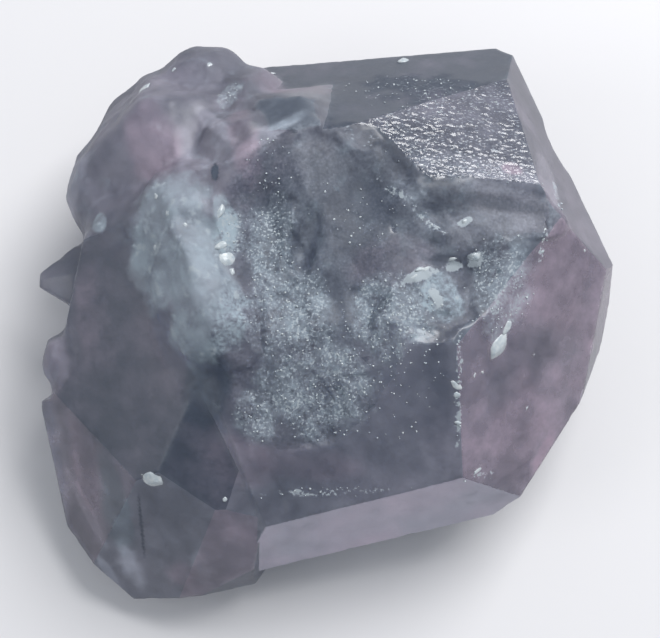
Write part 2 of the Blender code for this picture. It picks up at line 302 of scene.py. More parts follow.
def facets(points, pitch, layer):
    """Flat-sided noise, -1 to 1: lattice points have random heights, and each cube between
    them is parted into six tetrahedra by the order of a place's fractions, inside which the
    height runs straight from corner to corner."""
    scaled = points / pitch
    cell = np.floor(scaled)
    part = scaled - cell
    order = np.argsort(-part, axis=1)
    falling = np.take_along_axis(part, order, axis=1)
    steps = np.column_stack([np.ones(len(points)), falling, np.zeros(len(points))])
    total = np.zeros(len(points))
    corner = cell.copy()
    for n in range(4):
        total += (steps[:, n] - steps[:, n + 1]) * (2 * chance(corner, layer) - 1)
        if n < 3:
            corner[np.arange(len(points)), order[:, n]] += 1
    return total


def terraces(field):
    """A field turned into level treads one apart with a steep, rounded riser between them."""
    level = np.floor(field)
    return level + ease(0.38, 0.62, field - level)


def tumbled(points):
    """The same places in a leaning frame, each moved a little by swells, so that a pattern's
    lattice doesn't show."""
    leaning = np.array([direction(40, 62), direction(158, 71), direction(265, 34)])
    moved = np.stack([swells(points, 2.3, 10 + n) for n in range(3)], axis=1)
    return points @ leaning.T + 0.6 * moved


def turned(plan, turn):
    """Flat places as they lie on axes that are turned by so many degrees."""
    a = math.radians(turn)
    x, y = plan.T
    return np.stack([x * math.cos(a) + y * math.sin(a), y * math.cos(a) - x * math.sin(a)], axis=1)


def from_above(points):
    """Places from the middle as seen from above, height left out."""
    return points[:, :2] - MIDDLE[:2]


def area(points, centre, radii, turn):
    """1 in the middle of an ellipse seen from above, 0 on its rim and below 0 outside."""
    u, v = (turned(from_above(points) - centre, turn) / radii).T
    return 1 - u * u - v * v


def in_areas(points, areas, low=0.0, high=0.35, ragged=0.0, layer=0):
    """1 inside any of the ellipses, fading to 0 at their rims, which wander by swells."""
    best = np.max([area(points, *values) for values in areas.values()], axis=0)
    wander = ragged * rough_swells(points, 1.2, layer, 4) if ragged else 0
    return ease(low, high, best + wander) * ease(1.0, 3.5, points[:, 2])


def changes(points, areas, layer):
    """The sum of the changes that the ellipses give, each fading out at its ragged rim."""
    wander = 0.25 * rough_swells(points, 1.2, layer, 4)
    total = np.zeros(len(points))
    for centre, radii, turn, change in areas.values():
        total += change * ease(-0.1, 0.7, area(points, centre, radii, turn) + wander)
    return total * ease(1.0, 3.5, points[:, 2])


def off_path(points, path):
    """Distance from above, in mm, to the nearest stretch of a path."""
    place = from_above(points)
    best = np.full(len(points), np.inf)
    for start, end in zip(np.array(path[:-1]), np.array(path[1:])):
        along = end - start
        share = np.clip((place - start) @ along / (along @ along), 0, 1)
        best = np.minimum(best, np.linalg.norm(place - start - share[:, None] * along, axis=1))
    return best


# ---------------------------------------------------------------- the mesh as arrays

FLAT_ANGLE = 0.5  # degrees of bend that still count as flat
CREASE_ANGLE = 12.0  # degrees of bend from which an edge is worn


def edge_table(triangles):
    """Each edge once, as its two ends, and the numbers of each triangle's three edges."""
    sides = np.sort(triangles[:, [0, 1, 1, 2, 2, 0]].reshape(-1, 2), axis=1)
    count = triangles.max() + 1
    keys, number = np.unique(sides[:, 0] * count + sides[:, 1], return_inverse=True)
    return np.stack([keys // count, keys % count], axis=1), number.reshape(-1, 3)


def welded(mesh):
    """Points in mm and triangles of a mesh of loose triangles, with equal points made one."""
    corners = np.empty(len(mesh.vertices) * 3)
    mesh.vertices.foreach_get("co", corners)
    mesh.calc_loop_triangles()
    triangles = np.empty(len(mesh.loop_triangles) * 3, dtype=np.int64)
    mesh.loop_triangles.foreach_get("vertices", triangles)
    rounded = np.round(corners.reshape(-1, 3) / MM, 4)
    points, number = np.unique(rounded, axis=0, return_inverse=True)
    triangles = number.reshape(-1)[triangles].reshape(-1, 3)
    whole = (np.diff(np.sort(triangles, axis=1), axis=1) > 0).all(axis=1)
    return points, triangles[whole]


def facet_normals(points, triangles):
    """Each triangle's normal, as long as twice its area."""
    a, b, c = points[triangles].transpose(1, 0, 2)
    return np.cross(b - a, c - a)


def unit(vectors):
    return vectors / np.maximum(np.linalg.norm(vectors, axis=-1, keepdims=True), 1e-12)


def spread(values, places, count):
    """Adds rows of values up at the places that they belong to."""
    return np.stack([np.bincount(places, column, count) for column in values.T], axis=1)


def point_normals(points, triangles):
    """Unit normals at the points: the sum of the normals of the triangles round each."""
    normals = np.repeat(facet_normals(points, triangles), 3, axis=0)
    return unit(spread(normals, triangles.ravel(), len(points)))


def edge_sides(sides):
    """For each edge, the two triangles beside it and which of their sides it is."""
    order = np.argsort(sides.ravel(), kind="stable").reshape(-1, 2)
    return order // 3, order % 3


def creases(points, triangles, sides, angle):
    """True for each edge where the surface bends by more than the angle in degrees."""
    normals = unit(facet_normals(points, triangles))
    beside, _ = edge_sides(sides)
    bend = np.sum(normals[beside[:, 0]] * normals[beside[:, 1]], axis=1)
    return bend < math.cos(math.radians(angle))


def split_edges(points, triangles, edges, sides, chosen):
    """Puts a point in the middle of each chosen edge and divides the triangles beside it
    into two, three or four."""
    new = np.full(len(edges), -1)
    new[chosen] = len(points) + np.arange(chosen.sum())
    points = np.vstack([points, points[edges[chosen]].mean(axis=1)])
    middles = new[sides]
    split = middles >= 0
    count = split.sum(axis=1)
    start = np.select([count == 1, count == 2], [split.argmax(axis=1), (split.argmin(axis=1) + 1) % 3])
    order = (start[:, None] + np.arange(3)) % 3
    a, b, c = np.take_along_axis(triangles, order, axis=1).T
    ab, bc, ca = np.take_along_axis(middles, order, axis=1).T
    parts = {
        0: [(a, b, c)],
        1: [(a, ab, c), (ab, b, c)],
        2: [(ab, b, bc), (a, ab, bc), (a, bc, c)],
        3: [(a, ab, ca), (ab, b, bc), (ca, bc, c), (ab, bc, ca)],
    }
    found = [np.stack(part, axis=1)[count == n] for n, several in parts.items() for part in several]
    return points, np.vstack(found)


def corner_angles(points, a, b, c):
    """The angle at a, between the lines to b and c."""
    to_b, to_c = unit(points[b] - points[a]), unit(points[c] - points[a])
    return np.arccos(np.clip(np.sum(to_b * to_c, axis=1), -1, 1))


def flip_edges(points, triangles, rounds=3):
    """Turns each edge inside a flat face whose two opposite angles make more than half a
    turn, worst ones first, no two in one triangle at once and none onto another edge."""
    triangles = triangles.copy()
    for _ in range(rounds):
        edges, sides = edge_table(triangles)
        beside, which = edge_sides(sides)
        one, other = beside.T
        a = triangles[one, which[:, 0]]
        b = triangles[one, (which[:, 0] + 1) % 3]
        c = triangles[one, (which[:, 0] + 2) % 3]
        d = triangles[other, (which[:, 1] + 2) % 3]
        excess = corner_angles(points, c, a, b) + corner_angles(points, d, a, b) - math.pi
        swapped = np.minimum(c, d) * len(points) + np.maximum(c, d)
        taken = np.isin(swapped, edges[:, 0] * len(points) + edges[:, 1])
        excess[creases(points, triangles, sides, FLAT_ANGLE) | taken | (excess < 0.01)] = 0
        excess += (excess > 0) * 1e-9 * np.arange(len(edges))
        worst = excess[sides].max(axis=1)
        chosen = np.flatnonzero((excess > 0) & (excess == worst[one]) & (excess == worst[other]))
        chosen = chosen[np.unique(swapped[chosen], return_index=True)[1]]
        if not len(chosen):
            break
        triangles[one[chosen]] = np.stack([a, d, c], axis=1)[chosen]
        triangles[other[chosen]] = np.stack([d, b, c], axis=1)[chosen]
    return triangles


def both_ways(edges):
    """The near and the far end of each edge, seen first from one end and then from the other."""
    return np.vstack([edges, edges[:, ::-1]]).T


def neighbour_means(points, edges):
    """The middle of the points that each point shares an edge with, and how many they are."""
    ends, others = both_ways(edges)
    count = np.bincount(ends, minlength=len(points))
    return spread(points[others], ends, len(points)) / np.maximum(count, 1)[:, None], count


def relax(points, triangles, rounds=3):
    """Evens the triangles out: a point inside a flat face moves towards the middle of its
    neighbours, and one on a straight edge towards the middle of its two along the edge."""
    for _ in range(rounds):
        edges, sides = edge_table(triangles)
        sharp = creases(points, triangles, sides, FLAT_ANGLE)
        inside, _ = neighbour_means(points, edges)
        along, count = neighbour_means(points, edges[sharp])
        ends, others = both_ways(edges[sharp])
        balance = spread(unit(points[others] - points[ends]), ends, len(points))
        straight = (count == 2) & (np.linalg.norm(balance, axis=1) < 0.01)
        points = np.where((count == 0)[:, None], (points + inside) / 2, points)
        points = np.where(straight[:, None], (points + along) / 2, points)
        triangles = flip_edges(points, triangles)
    return points, triangles


def soften(points, edges, share, rounds):
    """Moves each point towards the middle of its neighbours, by its share, again and again."""
    for _ in range(rounds):
        middle, _ = neighbour_means(points, edges)
        points = points + share[:, None] * (middle - points)
    return points


# ---------------------------------------------------------------- the skin

NARROW = 0.45  # mm, half the width below which a shaded place needs a fine mesh


def spacing_of(points, triangles, sizes):
    """The longest edge allowed in each triangle, in mm: fine on pits and broken grain."""
    middle = points[triangles].mean(axis=1)
    normals = unit(facet_normals(points, triangles))
    spacing = np.where(middle[:, 2] < 5, sizes.under_spacing, sizes.face_spacing)
    narrow = {name: values[:3] for name, values in SHADED_AREAS.items() if min(values[1]) < NARROW}
    grainy = {**PITTED_AREAS, **SUGARY_AREAS, **CRUSTED_AREAS, **SPECKLED_AREAS, **STRIATED_AREAS}
    for areas, limit in (
        (LUMPY_AREAS, sizes.lump_spacing),
        ({**BROKEN_AREAS, **FROSTED_AREAS}, sizes.break_spacing),
        (grainy, sizes.grain_spacing),
        (narrow, sizes.grain_spacing),
    ):
        spacing = np.where(in_areas(middle, areas, -0.2, 0.0) > 0.5, limit, spacing)
    etched = looks(normals, *FACE_FINISH["etched_face"][:2])
    return np.where(etched, sizes.etched_spacing, spacing)


def refine(points, triangles, sizes):
    """Splits edges until none is too long for the triangles beside it, and evens them out."""
    while True:
        edges, sides = edge_table(triangles)
        spacing = spacing_of(points, triangles, sizes)
        beside, _ = edge_sides(sides)
        limit = spacing[beside].min(axis=1)
        sharp = creases(points, triangles, sides, CREASE_ANGLE)
        limit = np.where(sharp, np.minimum(limit, sizes.edge_spacing), limit)
        at_edge = np.zeros(len(points), dtype=bool)
        at_edge[edges[sharp].ravel()] = True
        near = at_edge[edges].any(axis=1)  # those may be half as long again
        limit = np.where(near, np.minimum(limit, 1.5 * sizes.edge_spacing), limit)
        chosen = np.linalg.norm(points[edges[:, 0]] - points[edges[:, 1]], axis=1) > limit
        if not chosen.any():
            break
        points, triangles = split_edges(points, triangles, edges, sides, chosen)
        triangles = flip_edges(points, triangles)
    return relax(points, triangles)


def facet_finish(normals):
    """How milky, how light and how mauve each facet is, by the way that it looks."""
    finish = np.tile(OTHER_FINISH, (len(normals), 1))
    for azimuth, tilt, *values in FACE_FINISH.values():
        finish[looks(normals, azimuth, tilt)] = values
    return finish


def share_round_points(flags, triangles, count):
    """For each point, the share of the triangles round it that are flagged."""
    weights = np.repeat(flags.astype(float), 3)
    total = np.bincount(triangles.ravel(), minlength=count)
    return np.bincount(triangles.ravel(), weights, count) / np.maximum(total, 1)


def build_mesh(name, points, triangles):
    """A smooth-shaded mesh in metres from points in mm."""
    mesh = bpy.data.meshes.new(name)
    mesh.vertices.add(len(points))
    mesh.vertices.foreach_set("co", (points * MM).astype(np.float32).ravel())
    mesh.loops.add(triangles.size)
    mesh.loops.foreach_set("vertex_index", triangles.astype(np.int32).ravel())
    mesh.polygons.add(len(triangles))
    mesh.polygons.foreach_set("loop_start", np.arange(0, triangles.size, 3, dtype=np.int32))
    mesh.update(calc_edges=True)
    mesh.validate()
    mesh.shade_smooth()
    return mesh


def store(mesh, domain, **columns):
    """Puts each column of numbers on the mesh as an attribute that materials can read."""
    for name, values in columns.items():
        attribute = mesh.attributes.new(name, "FLOAT", domain)
        attribute.data.foreach_set("value", values.astype(np.float32))


def add_piece(name, mesh, material):
    """A finished piece at the origin that rides on the crystal's body."""
    piece = bpy.data.objects.new(name, mesh)
    bpy.context.scene.collection.objects.link(piece)
    mesh.materials.append(material)
    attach(piece, BODY)
    return piece


def length(name, description, size):
    """A setting that is a length, with its default in mm."""
    return FloatProperty(name=name, description=description, default=size * MM, precision=6, unit="LENGTH")


def colour(name, description, *values):
    """A setting that is a colour, with its default as red, green and blue."""
    return FloatVectorProperty(
        name=name, description=description, default=values, subtype="COLOR", size=3, min=0, max=1)


class CrystalSizes(PropertyGroup):
    """Sizes of the skin's mesh and of its relief."""

    face_spacing: length("Face spacing", "Longest mesh edge on flat faces", 0.55)
    under_spacing: length("Under spacing", "Longest mesh edge low on the sides and underneath", 0.85)
    lump_spacing: length("Lump spacing", "Longest mesh edge on the crown", 0.33)
    break_spacing: length("Break spacing", "Longest mesh edge on the broken crest and the boss", 0.22)
    grain_spacing: length("Grain spacing", "Longest mesh edge on sugary grain", 0.16)
    etched_spacing: length("Etched spacing", "Longest mesh edge on the etched face", 0.118)
    edge_spacing: length("Edge spacing", "Longest mesh edge along the crystal's edges", 0.24)
    pit_length: length("Pit length", "Length of the etch pits", 0.25)
    pit_width: length("Pit width", "Width of the etch pits", 0.13)
    pit_depth: length("Pit depth", "Depth of the etch pits", 0.032)
    break_size: length("Break size", "Size of the large facets on the broken crest", 3.4)
    break_height: length("Break height", "How far those facets lean out", 0.26)
    splinter_size: length("Splinter size", "Size of the small facets on the broken crest", 0.9)
    splinter_height: length("Splinter height", "How far the small facets lean out", 0.045)
    step_size: length("Step size", "Distance over which the cleavage steps wander", 2.4)
    step_height: length("Step height", "Height of each cleavage step", 0.09)
    grain_size: length("Grain size", "Size of the facets of the sugary grain", 0.30)
    grain_height: length("Grain height", "How far those facets stand out", 0.042)
    knob_size: length("Knob size", "Distance between the knobs on the boss and the crown", 1.9)
    knob_height: length("Knob height", "Height of those knobs", 0.14)
    dimple_size: length("Dimple size", "Distance between the dimples among the knobs", 0.8)
    dimple_depth: length("Dimple depth", "Depth of those dimples", 0.03)
    wart_size: length("Wart size", "Size of the small facets on the lumps", 0.5)
    wart_height: length("Wart height", "How far those facets lean out", 0.05)
    ridge_width: length("Ridge width", "Half the width of the crest's sharp line", 0.55)
    ridge_height: length("Ridge height", "Height of the crest's sharp line", 0.3)
    groove_size: length("Groove size", "Distance between the grooves beside the lens", 0.22)
    groove_height: length("Groove height", "Depth of those grooves", 0.02)
    chip_size: length("Chip size", "Distance between the chips along worn edges", 0.8)
    chip_depth: length("Chip depth", "Depth of those chips", 0.14)
    crust_height: length("Crust height", "How far the chalky crusts stand out", 0.035)


def in_mm(sizes):
    """The sizes, each under its own name, in mm."""
    return SimpleNamespace(**{name: getattr(sizes, name) / MM for name in CrystalSizes.__annotations__})


def etch_pits(points, sizes):
    """Height in mm of the etch relief: facets drawn out along rows, smaller and closer
    towards the face's lower edge and lower towards its top."""
    (x, y), (end_x, end_y) = ETCHED_FOOT
    across = np.array([y - end_y, end_x - x]) / math.hypot(end_x - x, end_y - y)
    above = (from_above(points) - (x, y)) @ across
    plan = turned(from_above(points), ROW_TURN)
    plan = np.column_stack([plan, np.zeros(len(plan))]) + 0.1 * swells(points, 0.8, 2)[:, None]
    pitch = np.array([sizes.pit_length, sizes.pit_width, ENDLESS])
    near = 1 - ease(0.4, 2.6, above + 0.8 * swells(points, 1.5, 4))
    far = ease(3.2, 5.0, above + 1.5 * swells(points, 1.1, 6))
    large = 1.6 * np.maximum(facets(plan, pitch, 3) - 0.05, 0) * (1 - 0.6 * near)
    small = 0.9 * facets(plan, 0.5 * pitch, 5) * (0.4 + near)
    round_pits = 0.4 * facets(plan, 0.75 * pitch[1] * np.array([1.3, 1, 1]), 7)
    return sizes.pit_depth * (large + small + round_pits) * (1 - 0.5 * far)


def relief(points, sizes, on):
    """Height in mm added along the normals, the sum of: etch pits; on the break, large facets
    with small ones, steps and a ridge on them; fine facets in the sugary grain; grooves;
    knobs, dimples and warts on the lumps; raised crusts; chips along worn edges; and very
    flat swells on the faces. Each is weighed by where it belongs."""
    leaning = tumbled(points)
    large = sizes.break_height * facets(leaning, sizes.break_size, 14)
    small = sizes.splinter_height * facets(leaning, sizes.splinter_size, 15)
    steps = sizes.step_height * terraces(1.7 * facets(leaning, sizes.step_size, 55))
    sugar = sizes.grain_height * facets(leaning, sizes.grain_size, 16)
    ridge = sizes.ridge_height * np.maximum(1 - off_path(points, RIDGE_PATH) / sizes.ridge_width, 0)
    across = turned(from_above(points), GROOVE_TURN)[:, [1, 1, 1]] + 0.05
    grooves = sizes.groove_height * facets(across, sizes.groove_size, 19)
    knobs = sizes.knob_height * rough_swells(points, sizes.knob_size, 30, 2)
    dimples = sizes.dimple_depth * rough_swells(points, sizes.dimple_size, 33, 2)
    warts = sizes.wart_height * facets(leaning, sizes.wart_size, 34)
    chips = -sizes.chip_depth * np.maximum(rough_swells(points, sizes.chip_size, 36, 2) - 0.1, 0)
    crust = sizes.crust_height + 0.03 * facets(leaning, 0.35, 44)
    flat = 0.02 * swells(points, 3.1, 40) + 0.004 * swells(points, 0.9, 41)
    lumpy, calm = on["lumpy"], on["calm"]
    rubble = (1 - 0.4 * calm) * large + (1 - 0.9 * calm) * (small + steps + ridge)
    return (
        on["pitted"] * etch_pits(points, sizes)
        + on["broken"] * (1 - lumpy) * rubble
        + on["sugary"] * (1 - 0.7 * lumpy) * (1 - 0.6 * calm) * sugar
        + on["striated"] * grooves
        + lumpy * (knobs + dimples + (0.3 + 0.7 * on["frosted"]) * warts)
        + on["crusted"] * crust
        + on["worn"] * chips
        + flat
    )


def grounds(points, triangles, edges, sides):
    """How far each point belongs to each kind of ground, from 0 to 1. The etched face stays
    clear of the break, and the leaf's face of the lumps."""
    normals = unit(facet_normals(points, triangles))
    etched, leaf = (
        share_round_points(looks(normals, *FACE_FINISH[name][:2]), triangles, len(points))
        for name in ("etched_face", "leaf_face"))
    sharp = creases(points, triangles, sides, CREASE_ANGLE)
    worn = np.bincount(edges[sharp].ravel(), minlength=len(points)) > 0
    return {
        "etched": etched,
        "lumpy": in_areas(points, LUMPY_AREAS, -0.25, 0.15) * (1 - leaf),
        "broken": in_areas(points, BROKEN_AREAS, -0.1, 0.15) * (1 - etched),
        "calm": in_areas(points, CALM_AREAS, 0.0, 0.4, 0.2, 3),
        "striated": in_areas(points, STRIATED_AREAS, 0.0, 0.5),
        "sugary": in_areas(points, SUGARY_AREAS, 0.0, 0.6, 0.4, 5),
        "frosted": in_areas(points, FROSTED_AREAS, -0.05, 0.4, 0.3, 9),
        "crusted": in_areas(points, CRUSTED_AREAS, -0.3, 1.1, 0.5, 13),
        "speckled": in_areas(points, SPECKLED_AREAS, 0.0, 0.8),
        "worn": soften(worn.astype(float)[:, None], edges, np.full(len(points), 0.5), 3)[:, 0],
        "pitted": np.maximum(etched, in_areas(points, PITTED_AREAS, 0.0, 0.9, 0.5, 17)),
    }


def weathered(points, edges, on):
    """The points with the lumps, the break, its calm and melted parts and its fading foot
    softened, each for its own number of rounds, and last all but the etched face a little."""
    points = soften(points, edges, 0.5 * on["lumpy"], 26)
    points = soften(points, edges, 0.5 * on["broken"] * (1 - on["lumpy"]), 2)
    melted = np.maximum(on["calm"], in_areas(points, MELTED_AREAS))
    points = soften(points, edges, 0.5 * melted, 60)
    points = soften(points, edges, 0.5 * in_areas(points, FADING_AREAS, -0.2, 0.5), 160)
    return soften(points, edges, 0.3 * (1 - on["etched"]), 1)


class CELESTINE_OT_skin(Operator):
    """Grow the crystal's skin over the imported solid"""

    bl_idname = "celestine.skin"
    bl_label = "Grow Crystal Skin"

    def execute(self, context):
        sizes = in_mm(context.scene.celestine_sizes)
        points, triangles = refine(*welded(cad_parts[NODE].data), sizes)
        edges, sides = edge_table(triangles)
        milky, light, mauve = facet_finish(unit(facet_normals(points, triangles))).T
        on = grounds(points, triangles, edges, sides)
        unpitted = on["broken"] * (1 - on["pitted"])
        # painted shade and light: facets of the break made lighter and darker as if lit from different sides
        patches = 0.08 * facets(tumbled(points), 2.1, 50)
        shade = changes(points, SHADED_AREAS, 21) + unpitted * patches
        blush = changes(points, MAUVE_AREAS, 23)
        points = weathered(points, edges, on)
        on["broken"] = unpitted
        points = points + relief(points, sizes, on)[:, None] * point_normals(points, triangles)

        mesh = build_mesh("crystal_skin", points, triangles)
        store(mesh, "POINT", shade=shade, blush=blush, **on)
        store(mesh, "FACE", milky=milky, light=light, mauve=mauve)
        piece = add_piece("crystal_skin", mesh, celestine(context.scene.celestine_colours))
        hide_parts(NODE)
        return {"FINISHED"}


# ---------------------------------------------------------------- crumbs

# Loose grains stuck to the crystal, as seen from above: (x, y, length, width, height, turn).
# The boss glints, the corner glints and the first grain of the front foot are pale grains
# set as painted highlights
CRUMBS = {
    "back_edge": (
        (4.63, 16.0, 0.75, 0.6, 0.5, 20), (-3.0, 15.15, 0.8, 0.35, 0.25, 15),
    ),
    "long_grain": (
        (9.35, -2.05, 1.75, 1.15, 0.55, 62), (9.75, -1.15, 1.0, 0.5, 0.35, 80),
        (9.95, -0.5, 0.5, 0.3, 0.2, 100),
    ),
    "line_flakes": (
        (6.95, -4.3, 0.75, 0.42, 0.3, 150), (7.1, -4.75, 0.4, 0.35, 0.25, 40),
    ),
    "right_flakes": (
        (8.0, -3.7, 0.4, 0.28, 0.25, 60), (8.45, -3.45, 0.38, 0.26, 0.25, 0),
    ),
    "line_foot": (
        (7.15, -6.1, 0.42, 0.34, 0.28, 0), (8.35, -8.3, 1.0, 0.4, 0.28, 25),
    ),
    "wedge": (
        (-9.15, -8.8, 1.3, 0.95, 0.5, -16), (-9.85, -8.5, 0.3, 0.25, 0.2, 0),
    ),
    # its first grain is a painted glint
    "front_foot": (
        (-5.3, -9.85, 0.42, 0.36, 0.32, 0), (-2.0, -10.25, 0.95, 0.2, 0.16, 100),
    ),
    "right_dots": (
        (11.15, -4.8, 0.34, 0.22, 0.2, 80), (11.45, -2.1, 0.26, 0.22, 0.18, 0),
        (14.3, 3.6, 0.3, 0.3, 0.2, 0),
    ),
    "crown_chips": (
        (-10.2, 13.1, 0.95, 0.7, 0.3, 60), (-8.5, 14.5, 0.5, 0.36, 0.25, 0),
        (-6.4, 14.6, 0.5, 0.4, 0.25, 60),
    ),
    # painted highlights: pale grains where the boss glints
    "boss_glints": (
        (-5.0, 2.0, 1.1, 0.8, 0.45, 60), (-5.45, 2.6, 0.7, 0.5, 0.35, 20),
        (-4.75, 1.35, 0.5, 0.4, 0.35, 90), (-5.35, 4.4, 0.8, 0.45, 0.35, 75),
        (-8.9, 5.6, 0.5, 0.35, 0.3, 80), (-8.95, 2.9, 0.6, 0.35, 0.3, 0),
        (-8.15, 4.4, 0.5, 0.4, 0.25, 80), (-7.2, 3.7, 0.45, 0.4, 0.25, 0),
    ),
    "crust_flakes": (
        (5.5, 1.75, 1.25, 0.42, 0.26, 17), (4.6, 1.1, 0.8, 0.36, 0.22, 30),
        (6.75, 2.2, 0.8, 0.34, 0.24, 15), (8.0, 2.35, 0.55, 0.5, 0.3, 50),
        (7.5, 4.2, 0.5, 0.34, 0.28, 50),
    ),
    # painted highlights: pale grains in a column of glints
    "corner_glints": (
        (11.85, 4.05, 0.36, 0.26, 0.25, 80), (11.75, 3.5, 0.42, 0.26, 0.25, 95),
        (11.7, 2.95, 0.4, 0.3, 0.25, 60),
    ),
    "front_fleck": ((-7.0, -7.2, 0.35, 0.22, 0.14, 100),),
}
CRUMB_MESH = (12, 18)  # rings and segments
SUNK = 0.1  # mm that a crumb's middle lies below the skin
SPECK_COUNT = 900
SPECK_SIZE = (0.05, 0.15)  # mm
SPECK_MESH = (3, 5)  # rings and segments
CUTS = 14  # flat cuts that shape each grain
CUT_AT = 0.85  # how far out they lie, as a share of the radius
CORNER_AT = 1.25  # how far out a corner between them may reach, as a share of the radius


def ball(rings, segments):
    """Unit directions of a sphere's points, ring by ring between two poles, and the closed
    skin of triangles over them."""
    tilt = np.pi * np.arange(1, rings) / rings
    round_it = 2 * np.pi * np.arange(segments) / segments
    t, r = (grid.ravel() for grid in np.meshgrid(tilt, round_it, indexing="ij"))
    belt = np.stack([np.sin(t) * np.cos(r), np.sin(t) * np.sin(r), np.cos(t)], axis=1)
    points = np.vstack([[0, 0, 1], belt, [0, 0, -1]])
    first = 1 + np.arange(rings - 2)[:, None] * segments
    here, there = np.arange(segments), (np.arange(segments) + 1) % segments
    a, b = (first + here).ravel(), (first + there).ravel()
    c, d = a + segments, b + segments
    last = 1 + (rings - 2) * segments
    top = np.stack([np.zeros_like(here), 1 + here, 1 + there], axis=1)
    foot = np.stack([np.full_like(here, len(points) - 1), last + there, last + here], axis=1)
    return points, np.vstack([top, np.stack([a, c, d], axis=1), np.stack([a, d, b], axis=1), foot])


def stones(places, normals, sizes, turns, rings, segments):
    """Points and triangles of many angular grains at once: a sphere cut off flat by planes
    that look in random directions, stretched to each grain's size, turned, and set down."""
    base, skin = ball(rings, segments)
    count = len(places)
    number = np.repeat(np.arange(count), len(base))
    ways = unit(chances(np.stack([np.arange(count * CUTS)] * 3, axis=1), 61)).reshape(count, CUTS, 3)
    facing = np.maximum(np.einsum("pi,nci->npc", base, ways), 0.3)
    radius = np.minimum((CUT_AT / facing).min(axis=2), CORNER_AT).ravel()
    shaped = np.tile(base, (count, 1)) * radius[:, None] * sizes[number] / 2
    turn = np.radians(turns)
    ahead = np.stack([np.cos(turn), np.sin(turn), np.zeros(count)], axis=1)
    ahead = unit(ahead - np.sum(ahead * normals, axis=1)[:, None] * normals)
    aside = np.cross(normals, ahead)
    frames = np.stack([ahead, aside, normals], axis=1)
    points = places[number] + np.einsum("ni,nij->nj", shaped, frames[number])
    triangles = (skin[None] + (np.arange(count) * len(base))[:, None, None]).reshape(-1, 3)
    return points, triangles


def on_skin(tree, plan):
    """Where upright lines at the places meet the skin, and the way it looks there."""
    hits = [tree.ray_cast(Vector((*(place + MIDDLE[:2]) * MM, 1)), Vector((0, 0, -1))) for place in plan]
    places = np.array([hit[0] for hit in hits]) / MM
    return places, unit(np.array([hit[1] for hit in hits]))


def scattered(areas, count):
    """Places spread through the ellipses, by their sizes, thinning out towards their rims."""
    reach = np.array([values[1][0] * values[1][1] for values in areas.values()])
    number = np.searchsorted(np.cumsum(reach) / reach.sum(), (np.arange(count) + 0.5) / count)
    picks = np.column_stack([np.arange(count), number, number])
    radius, angle = chance(picks, 71) ** 0.7, 2 * np.pi * chance(picks, 72)
    disc = np.stack([np.cos(angle), np.sin(angle)], axis=1) * radius[:, None]
    found = [turned(disc * radii, -turn) + centre for centre, radii, turn in areas.values()]
    return np.array(found)[number, np.arange(count)]


class CELESTINE_OT_crumbs(Operator):
    """Set crumbs and specks on the crystal's skin"""

    bl_idname = "celestine.crumbs"
    bl_label = "Set Crumbs"

    def execute(self, context):
        skin = bpy.data.objects.get("crystal_skin")
        if skin is None:
            raise RuntimeError("The crystal's skin has to be there before its crumbs")
        tree = BVHTree.FromObject(skin, context.evaluated_depsgraph_get())
        table = np.array([grain for group in CRUMBS.values() for grain in group])
        places, normals = on_skin(tree, table[:, :2])
        sunk = places - SUNK * normals
        points, triangles = stones(sunk, normals, table[:, 2:5], table[:, 5], *CRUMB_MESH)
        grain = chalk_and_glints(context.scene.celestine_colours)
        add_piece("crumbs", build_mesh("crumbs", points, triangles), grain)

        # pale specks, partly chalk and partly painted glints
        plan = scattered({**SPECKLED_AREAS, **SUGARY_AREAS, **GLITTER_AREAS}, SPECK_COUNT)
        places, normals = on_skin(tree, plan)
        picks = np.column_stack([np.arange(SPECK_COUNT)] * 3)
        size = SPECK_SIZE[0] + (SPECK_SIZE[1] - SPECK_SIZE[0]) * chance(picks, 73) ** 2
        sizes = size[:, None] * (0.7 + 0.6 * np.abs(chances(picks, 25)))
        points, triangles = stones(places, normals, sizes, 360 * chance(picks, 74), *SPECK_MESH)
        mesh = build_mesh("specks", points, triangles)
        mesh.shade_flat()
        add_piece("specks", mesh, grain)
        return {"FINISHED"}


# ---------------------------------------------------------------- materials


class StoneColours(PropertyGroup):
    """Colours and clearness of the stone."""

    # The shaded and lit tints, and the deep and pale colours, are the ends of the stone's brightness, so they
    # also carry its painted light and shade
    shaded: colour("Shaded tint", "Clear stone where it is darkest", 0.50, 0.53, 0.60)
    lit: colour("Lit tint", "Clear stone where it is lightest", 1.0, 1.0, 1.0)
    mauve_glow: colour("Mauve glow", "Clear stone on the warmer faces", 0.95, 0.74, 0.86)
    deep: colour("Deep colour", "Milky stone where it is darkest", 0.034, 0.048, 0.076)
    pale: colour("Pale colour", "Milky stone where it is lightest", 0.40, 0.47, 0.55)
    mauve: colour("Mauve colour", "Milky stone on the warmer faces", 0.55, 0.40, 0.50)
    # The frost colour also paints the pale edge highlights, the crust colour the painted glints on the stone,
    # and the crumb colour the grains set as painted glints
    frost: colour("Frost colour", "Frosted and sugary grain", 0.26, 0.32, 0.365)
    crust: colour("Crust colour", "Chalky crusts and crumbs", 0.32, 0.36, 0.39)
    crumb: colour("Crumb colour", "Loose grains and specks", 0.56, 0.58, 0.58)
    absorbed: colour("Body colour", "Colour that light keeps on its way through", 0.44, 0.60, 0.78)
    density: FloatProperty(
        name="Body density", description="How strongly the stone colours light, per metre",
        default=90, min=0)
    bending: FloatProperty(
        name="Refractive index", description="How strongly the stone bends light",
        default=1.62, min=1, max=3)


